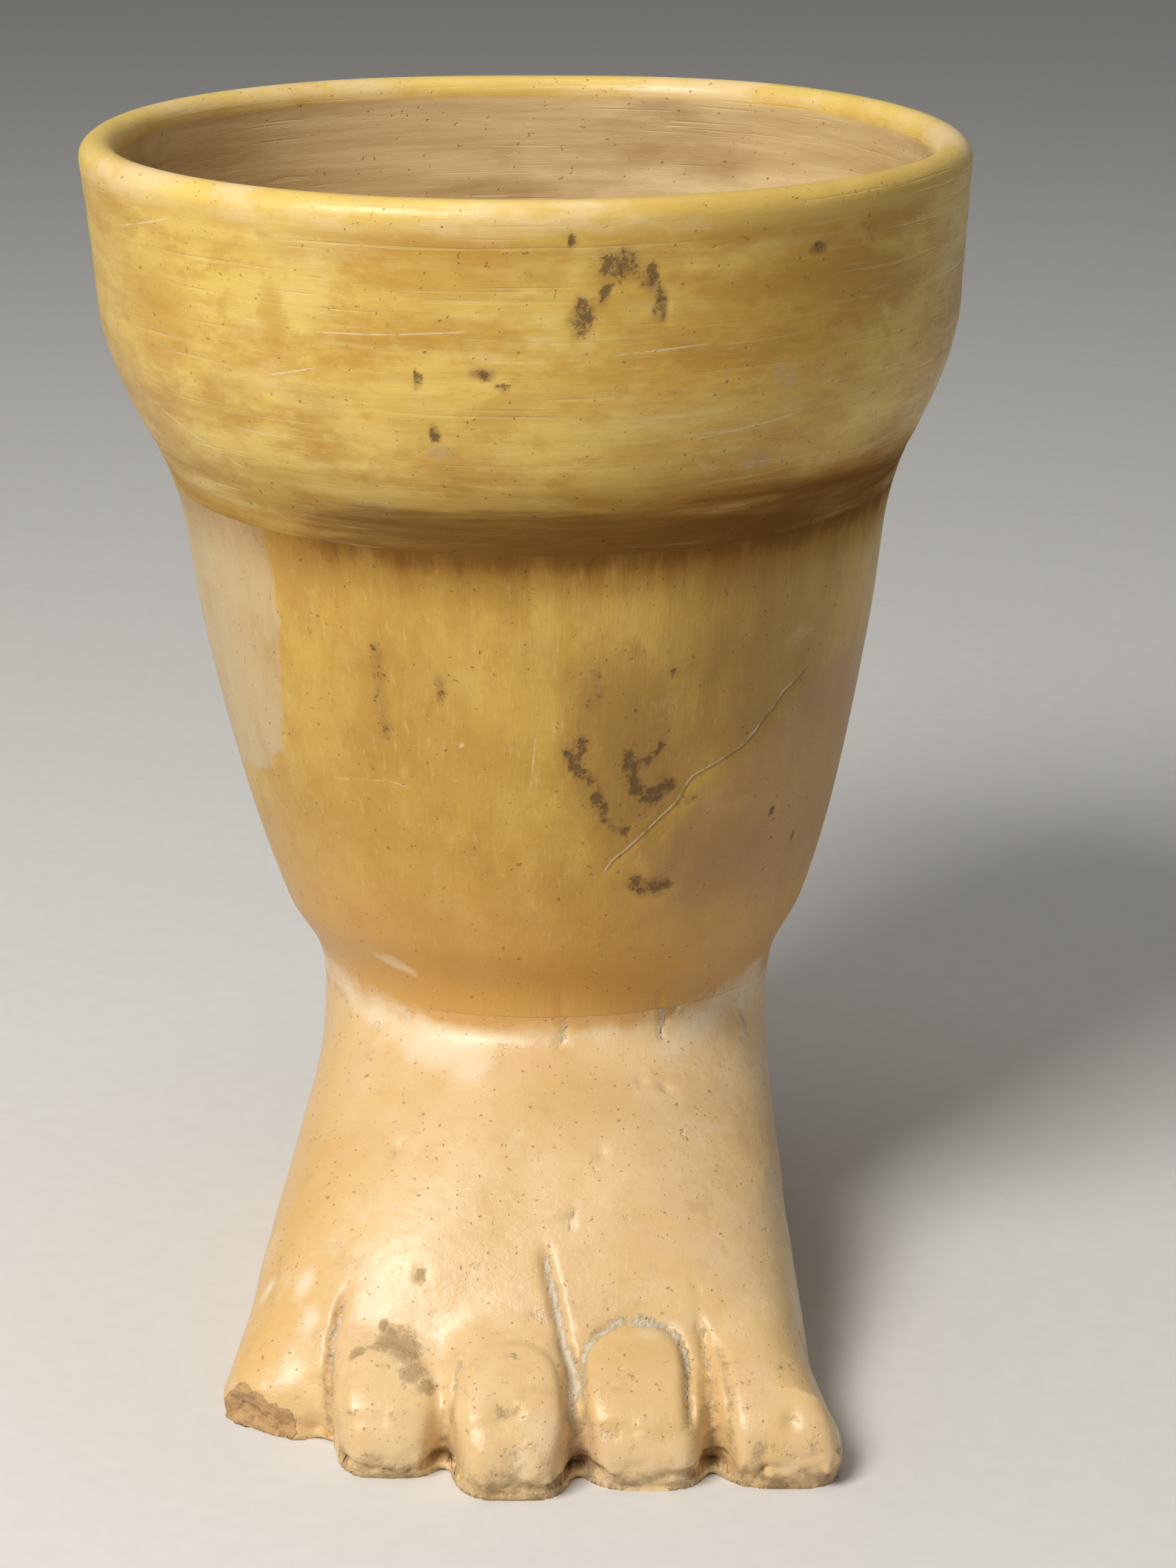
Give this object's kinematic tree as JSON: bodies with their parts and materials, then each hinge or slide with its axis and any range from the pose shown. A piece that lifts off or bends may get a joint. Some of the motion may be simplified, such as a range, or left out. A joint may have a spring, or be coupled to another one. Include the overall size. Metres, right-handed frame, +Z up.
{
  "type": "foot-shaped ceramic vessel",
  "caption": "Hand-built earthenware cup in the shape of a lower leg with a wide collar at the mouth, standing on a hollow right foot with modelled toes.",
  "frame": {"origin": "on the floor under the middle of the mouth, on the flat underside of the sole", "axes": "+Z up out of the mouth, -Y the way the toes point, +X to the big toe's side"},
  "size_m": [0.1352, 0.162, 0.181],
  "materials": {
    "ochre_slip": "satin",
    "peach_slip": "satin",
    "pale_luting": "matte",
    "bare_clay": "matte"
  },
  "bodies": {
    "root": {"rim_coil": "ochre_slip", "collar_band": "ochre_slip", "leg_wall": "ochre_slip", "ankle_bead": "pale_luting", "ankle_seam_coil": "bare_clay", "foot_shell": "peach_slip", "sole_seam_coil": "bare_clay", "sole_slab": "peach_slip", "little_toe": "peach_slip", "fourth_toe": "peach_slip", "middle_toe": "peach_slip", "second_toe": "peach_slip", "big_toe": "peach_slip"}
  },
  "joints": []
}
